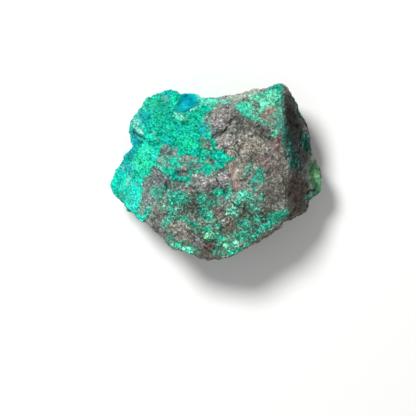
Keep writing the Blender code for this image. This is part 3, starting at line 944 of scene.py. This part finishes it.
class Nodes:
    """Short calls for the nodes of one material."""

    def __init__(self, material):
        material.use_nodes = True
        self.tree = material.node_tree
        self.tree.nodes.clear()

    def join(self, value, socket):
        if isinstance(value, bpy.types.NodeSocket):
            self.tree.links.new(value, socket)
        else:
            socket.default_value = value

    def add(self, kind, settings=None, **inputs):
        """A new node. An input goes by its name, or by i and its number."""
        made = self.tree.nodes.new("ShaderNode" + kind)
        for name, value in (settings or {}).items():
            setattr(made, name, value)
        for name, value in inputs.items():
            key = int(name[1:]) if name[1:].isdigit() else name.replace("_", " ")
            self.join(value, made.inputs[key])
        return made

    def math(self, operation, *values):
        inputs = {f"i{index}": value for index, value in enumerate(values)}
        return self.add("Math", {"operation": operation}, **inputs).outputs[0]

    def vector(self, operation, output="Vector", **inputs):
        return self.add("VectorMath", {"operation": operation}, **inputs).outputs[output]

    def times(self, first, *others):
        for value in others:
            first = self.math("MULTIPLY", first, value)
        return first

    def line(self, value, slope, level):
        """A value times a slope, plus a level."""
        return self.math("MULTIPLY_ADD", value, slope, level)

    def summed(self, start, *terms):
        """The start, plus each value times its weight."""
        for value, weight in terms:
            start = self.line(value, weight, start)
        return start

    def centred(self, value):
        return self.math("SUBTRACT", value, 0.5)

    def lively(self, value, bend, drop):
        """Its lights drawn out and its darks held in: a little of its square is added."""
        return self.line(self.times(value, value), bend, self.math("SUBTRACT", value, drop))

    def ramp(self, value, low, high, to_low=0.0, to_high=1.0, kind="SMOOTHSTEP"):
        settings = {"interpolation_type": kind}
        inputs = {"i0": value, "i1": low, "i2": high, "i3": to_low, "i4": to_high}
        return self.add("MapRange", settings, **inputs).outputs[0]

    def mix(self, share, first, second):
        inputs = {"i0": share, "i6": first, "i7": second}
        return self.add("Mix", {"data_type": "RGBA"}, **inputs).outputs[2]

    def scaled(self, colour, factor):
        """A colour made lighter or darker by a factor."""
        return self.vector("SCALE", i0=colour, i3=factor)

    def lit(self, colour, light, least):
        """A colour lightened or darkened by a share of itself, but never below the least."""
        return self.scaled(colour, self.math("MAXIMUM", self.math("ADD", 1.0, light), least))

    def tone(self, place, scale, detail=2.0, roughness=0.6):
        """Noise on both sides of zero."""
        inputs = {"Scale": scale, "Detail": detail, "Roughness": roughness}
        return self.centred(self.add("TexNoise", Vector=place, **inputs).outputs[0])

    def lines(self, place, scale, detail, roughness, edge):
        """Thin lines where a noise passes zero: 1 on them, and 0 past their edges."""
        tone = self.tone(place, scale, detail, roughness)
        return self.ramp(self.math("ABSOLUTE", tone), *edge)

    def crystals(self, place, scale):
        """Small crystals: three random numbers for each, and the height of its tilted face."""
        cells = self.add("TexVoronoi", Vector=place, Scale=scale).outputs
        away = self.vector("SUBTRACT", i0=place, i1=cells["Position"])
        lean = self.vector("SUBTRACT", i0=cells["Color"], i1=(0.5, 0.5, 0.5))
        tilt = self.vector("DOT_PRODUCT", "Value", i0=away, i1=lean)
        return self.add("SeparateColor", i0=cells["Color"]).outputs, tilt

    def along_flow(self, place, length):
        """A place for patterns drawn out along the flow of the ore."""
        inputs = {"Rotation": (0, 0, np.radians(FLOW)), "Scale": (length, 1, 1)}
        return self.add("Mapping", {"vector_type": "TEXTURE"}, i0=place, **inputs).outputs[0]


def make_patterns(nodes):
    """The noises, crystals and lines that crust and ore share, in millimetres."""
    place = nodes.add("TexCoord").outputs["Object"]
    place = nodes.add("Mapping", i0=place, Scale=(1 / MM,) * 3).outputs[0]
    bend = nodes.add("TexNoise", Vector=place, Scale=BEND_SCALE, Detail=2.0).outputs["Color"]
    bent = nodes.vector("ADD", i0=place, i1=nodes.scaled(bend, BEND))
    small, small_tilt = nodes.crystals(place, SMALL_CRYSTALS)
    large, large_tilt = nodes.crystals(place, LARGE_CRYSTALS)
    plates = nodes.add("TexVoronoi", Vector=bent, Scale=PLATES).outputs["Color"]
    plates = nodes.add("SeparateColor", i0=plates).outputs
    return SimpleNamespace(
        fine=nodes.tone(place, 1.9),
        middle=nodes.tone(place, 1.0),
        broad=nodes.tone(place, 0.3),
        grain=nodes.tone(nodes.along_flow(place, 4.5), 1.5),
        fibres=nodes.tone(nodes.along_flow(bent, 3.5), 2.4),
        plates=nodes.centred(plates[0]),
        plate_hues=nodes.centred(plates[1]),
        large=nodes.centred(large[0]),
        large_tilt=large_tilt,
        small=nodes.centred(small[0]),
        small_tilt=small_tilt,
        glints=small[1],
        specks=nodes.centred(small[2]),
        veins=nodes.lines(bent, *VEINS),
        threads=nodes.lines(bent, *THREADS),
        rifts=nodes.lines(place, *RIFTS),
        web=nodes.lines(bent, *WEB),
    )


def light_of(nodes, seen, weights):
    return nodes.summed(0.0, *((getattr(seen, name), weight) for name, weight in weights.items()))


def crust_look(nodes, seen):
    """Crystals from deep green to pale mint, bluer and yellower in turn, with painted shade in the
    hollows and painted highlights on the crests.
    """
    light = nodes.lively(light_of(nodes, seen, CRUST_LIGHT), 0.6, 0.22)
    light = nodes.times(light, nodes.line(seen.mottle, 0.8, seen.plain))
    green = nodes.lit(seen.crust_colour, light, 0.44)
    hue = nodes.summed(seen.broad, (seen.plate_hues, 0.22))
    swing = nodes.times(seen.plain, nodes.line(seen.even, -0.85, 1.0))
    for low, high, strength, colour in HUES:
        share = nodes.times(nodes.ramp(hue, low, high), strength, swing)
        green = nodes.mix(share, green, colour)
    pale = nodes.summed(seen.middle, (seen.glints, 0.34), (seen.grain, 0.7), (seen.mottle, 0.03))
    pale = nodes.times(nodes.ramp(pale, 0.29, 0.42), nodes.line(seen.veined, -0.3, 0.8))
    pale = nodes.math("MAXIMUM", pale, nodes.times(seen.threads, 0.5))
    pale = nodes.math("MAXIMUM", pale, nodes.times(seen.veins, 0.25))
    glow = nodes.add("RGBToBW", Color=seen.crust_colour).outputs[0]
    mint = nodes.scaled(seen.crust_colour, nodes.line(seen.mottle, 0.7, 1.65))
    mint = nodes.vector("ADD", i0=mint, i1=nodes.scaled(WHITENING, glow))
    green = nodes.mix(nodes.times(pale, seen.plain), green, mint)
    green = nodes.mix(nodes.times(seen.web, seen.veined, 0.3), green, PALE_WEB)
    # Painted shade in the hollows.
    green = nodes.mix(nodes.times(nodes.ramp(seen.hollow, 0.02, 0.16), 0.40), green, CRUST_HOLLOW_SHADE)
    green = nodes.mix(nodes.times(seen.rifts, seen.plain, 0.45), green, RIFT_CRUST)
    # Painted highlights on the crests.
    crest = nodes.times(nodes.ramp(seen.hollow, -0.02, -0.14), 0.30, seen.plain)
    return nodes.mix(crest, green, CRUST_CREST_HIGHLIGHT)


def ore_look(nodes, seen):
    """Dark and light grains stained green by the crust, with painted highlights on the crests of the
    splinters and of the relief, painted glints, and painted shade in the hollows.
    """
    light = nodes.lively(light_of(nodes, seen, ORE_LIGHT), 0.4, 0.06)
    light = nodes.times(light, nodes.line(seen.sparkle, 0.4, seen.plain))
    grey = nodes.lit(seen.ore_colour, light, 0.35)
    grey = nodes.mix(nodes.times(nodes.ramp(seen.broad, 0.04, 0.2), 0.16), grey, BROWN_ORE)
    stain = nodes.summed(-0.05, (seen.middle, 1.0), (seen.fine, 0.6), (seen.crust, 0.05))
    grey = nodes.mix(nodes.times(nodes.ramp(stain, -0.06, 0.16), 0.16), grey, STAINED_ORE)
    # Painted glints: the colour of the brightest small crystals is lightened.
    painted_glints = nodes.times(nodes.ramp(seen.glints, 0.86, 0.94), seen.plain)
    veins = nodes.times(seen.veins, seen.plain)
    grey = nodes.scaled(grey, nodes.summed(1.0, (painted_glints, 0.8), (veins, 0.15)))
    # Painted shade in the hollows, and painted highlights on the crests.
    grey = nodes.mix(nodes.times(nodes.ramp(seen.hollow, 0.02, 0.18), 0.42), grey, ORE_HOLLOW_SHADE)
    crest = nodes.times(nodes.ramp(seen.hollow, -0.02, -0.16), 0.36)
    return nodes.scaled(grey, nodes.math("ADD", crest, 1.0))


def stone_material(layers):
    """Crust and ore as the layers of the mesh lay them out."""
    material = bpy.data.materials.new(SLOT)
    nodes = Nodes(material)
    seen = make_patterns(nodes)
    for name, values in layers.items():
        kind = "Fac" if values.ndim == 1 else "Color"
        output = nodes.add("Attribute", {"attribute_name": name}).outputs[kind]
        setattr(seen, name, output)
    # Painted highlight: the ore is lightened on the crests of its splinters.
    seen.crests = nodes.centred(seen.streak)
    plain = nodes.math("MAXIMUM", seen.glassy, nodes.times(seen.chips, 0.7))
    seen.plain = nodes.math("SUBTRACT", 1.0, plain)

    # Crust shows where its frayed depth is above zero, with a green halo around it.
    fine = (nodes.times(seen.fine, seen.fray), 3.2)
    ragged = nodes.summed(seen.crust, fine, (nodes.times(seen.specks, seen.fray), 0.9))
    is_crust = nodes.ramp(ragged, -0.12, 0.12)
    green = crust_look(nodes, seen)
    halo = nodes.times(nodes.ramp(ragged, -1.5, -0.1), nodes.line(seen.mottle, 0.15, 0.25))
    grey = nodes.mix(halo, ore_look(nodes, seen), green)
    # Painted shade: the colour is darkened in the lump's broad folds and in the cracks.
    crease_shade = nodes.ramp(seen.crease, 0.02, 0.35, 1.0, 0.6)
    crack_shade = nodes.ramp(seen.crack, 0.2, 1.0, 1.0, 0.4)
    colour = nodes.scaled(nodes.mix(is_crust, grey, green), nodes.times(crease_shade, crack_shade))

    roughness = nodes.ramp(seen.glints, 0.0, 1.0, 0.75, 0.28, kind="LINEAR")
    roughness = nodes.times(roughness, nodes.ramp(seen.glassy, 0.0, 1.0, 1.0, 0.6))
    shine = nodes.ramp(is_crust, 0.0, 1.0, 0.26, 0.07)
    shine = nodes.times(shine, nodes.ramp(seen.glassy, 0.0, 1.0, 1.0, 0.4))
    bumps = nodes.times(seen.fine, 0.12)
    bumps = nodes.summed(bumps, (seen.small_tilt, 0.6), (seen.large_tilt, 0.3))
    bumps = nodes.times(bumps, seen.plain, MM)
    shader = nodes.add(
        "BsdfPrincipled", Base_Color=colour, Roughness=roughness, IOR=1.5, Specular_IOR_Level=shine,
        Normal=nodes.add("Bump", Strength=1.0, Distance=1.0, Height=bumps).outputs[0],
    )
    nodes.add("OutputMaterial", Surface=shader.outputs[0])
    return material


# ---- floor, camera and light


def make_floor():
    mesh = bpy.data.meshes.new("floor")
    shape = bmesh.new()
    bmesh.ops.create_grid(shape, x_segments=1, y_segments=1, size=FLOOR_SIZE)
    shape.to_mesh(mesh)
    shape.free()
    floor = bpy.data.objects.new("floor", mesh)
    bpy.context.scene.collection.objects.link(floor)
    material = bpy.data.materials.new("pale_floor")
    nodes = Nodes(material)
    shader = nodes.add("BsdfPrincipled", Base_Color=FLOOR_COLOUR, Roughness=0.9)
    nodes.add("OutputMaterial", Surface=shader.outputs[0])
    mesh.materials.append(material)


def make_camera():
    """Straight above the floor, with the stone where it is in the photograph's frame."""
    camera = bpy.data.cameras.new("camera")
    camera.lens = LENS
    camera.sensor_width = SENSOR
    holder = bpy.data.objects.new("camera", camera)
    holder.location = Vector((*CAMERA_PLACE, CAMERA_RISE + LEVEL)) * MM
    bpy.context.scene.collection.objects.link(holder)
    bpy.context.scene.camera = holder


def make_lights():
    for name, (place, size, power) in LIGHTS.items():
        light = bpy.data.lights.new(name, "AREA")
        light.shape = "DISK"
        light.size = size
        light.energy = power
        lamp = bpy.data.objects.new(name, light)
        lamp.location = place
        lamp.rotation_euler = Vector(place).to_track_quat("Z", "Y").to_euler()
        lamp.visible_camera = False
        bpy.context.scene.collection.objects.link(lamp)
    world = bpy.data.worlds.new("studio")
    bpy.context.scene.world = world
    world.use_nodes = True
    background = world.node_tree.nodes["Background"]
    background.inputs["Color"].default_value = (1, 1, 1, 1)
    background.inputs["Strength"].default_value = SKY
    bpy.context.scene.view_settings.view_transform = "Standard"


stone = make_stone(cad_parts[NODE])
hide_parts(NODE)
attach(stone, "root")
make_floor()
make_camera()
make_lights()
